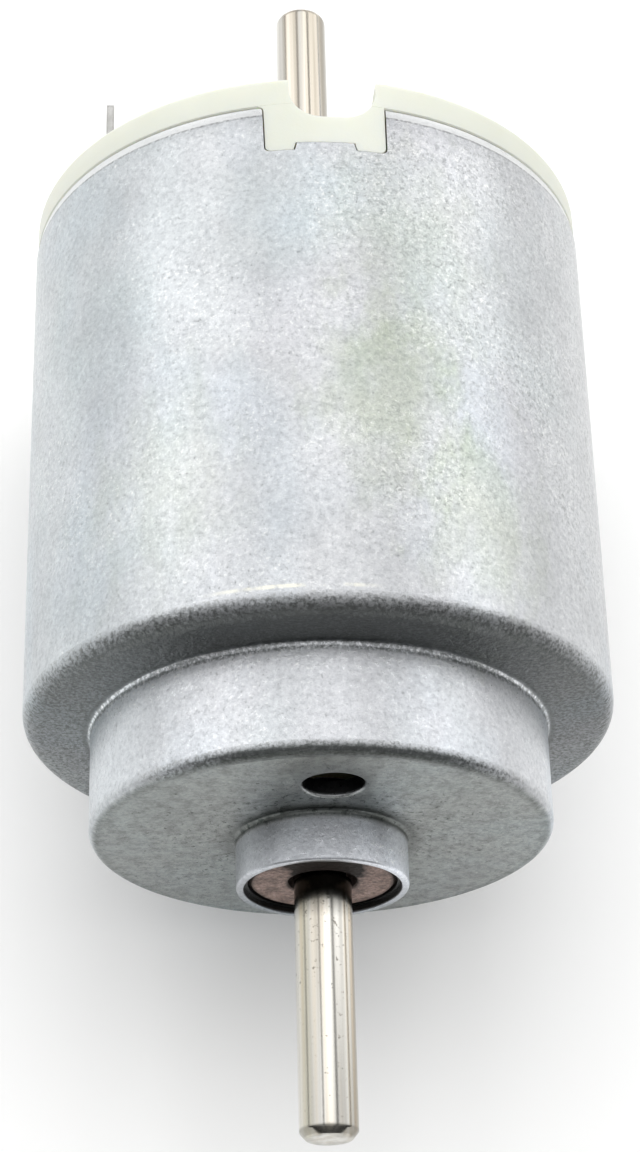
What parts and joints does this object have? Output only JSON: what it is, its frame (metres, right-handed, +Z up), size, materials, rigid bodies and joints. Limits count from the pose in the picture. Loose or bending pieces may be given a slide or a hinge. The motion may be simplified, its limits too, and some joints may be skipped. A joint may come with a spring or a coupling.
{
  "type": "electric motor",
  "caption": "Small round brushed DC motor in a stepped steel can, with a moulded end cap, blade terminals and a shaft that leaves both ends.",
  "frame": {"origin": "centre of the flat front face, on the shaft axis", "axes": "+Y along the shaft from the drive end to the terminal end, +Z up towards the end cap's key, +X to the right seen from the drive end"},
  "size_m": [0.021, 0.0465, 0.021],
  "materials": {
    "zinc_steel": "satin galvanised",
    "sintered_bronze": "matt sintered",
    "ferrite": "matt ground",
    "spring_steel": "drawn",
    "ivory_nylon": "moulded satin",
    "tinned_brass": "tinned",
    "phosphor_bronze": "rolled",
    "carbon": "matt carbon",
    "shaft_steel": "ground and polished",
    "washer_plastic": "natural",
    "spacer_plastic": "natural",
    "insulator_green": "pressed board",
    "silicon_steel": "varnished",
    "enamelled_copper": "enamelled",
    "phenolic": "moulded",
    "commutator_copper": "turned",
    "solder": "bright"
  },
  "bodies": {
    "stator": {"motor_can": "zinc_steel", "front_bearing": "sintered_bronze", "magnet_left": "ferrite", "magnet_right": "ferrite", "magnet_spring": "spring_steel", "end_cap": "ivory_nylon", "rear_bearing": "sintered_bronze", "terminal_left": "tinned_brass", "terminal_right": "tinned_brass"},
    "rotor": {"shaft": "shaft_steel", "front_thrust_washer": "washer_plastic", "front_spacer": "spacer_plastic", "front_insulator": "insulator_green", "lamination_stack": "silicon_steel", "rear_insulator": "insulator_green", "coil_1": "enamelled_copper", "coil_2": "enamelled_copper", "coil_3": "enamelled_copper", "commutator_hub": "phenolic", "commutator_ring": "phenolic", "commutator_segment_1": "commutator_copper", "commutator_segment_2": "commutator_copper", "commutator_segment_3": "commutator_copper", "solder_joints": "solder", "oil_slinger": "washer_plastic", "rear_thrust_washer": "washer_plastic"},
    "brush_left": {"brush_arm_left": "phosphor_bronze", "carbon_brush_left": "carbon"},
    "brush_right": {"brush_arm_right": "phosphor_bronze", "carbon_brush_right": "carbon"}
  },
  "joints": [
    {"name": "rotor_spin", "type": "hinge", "parent": "stator", "child": "rotor", "pos_m": [0, 0, 0], "axis": [0, 1, 0], "continuous": true},
    {"name": "brush_left_flex", "type": "hinge", "parent": "stator", "child": "brush_left", "pos_m": [-0.0054, 0.021, -0.0061], "axis": [0, -1, 0], "range_deg": [0, 6], "stiffness_Nm_per_rad": 0.0004, "springref_deg": -1.15},
    {"name": "brush_right_flex", "type": "hinge", "parent": "stator", "child": "brush_right", "pos_m": [0.0054, 0.021, -0.0061], "axis": [0, 1, 0], "range_deg": [0, 6], "stiffness_Nm_per_rad": 0.0004, "springref_deg": -1.15}
  ]
}
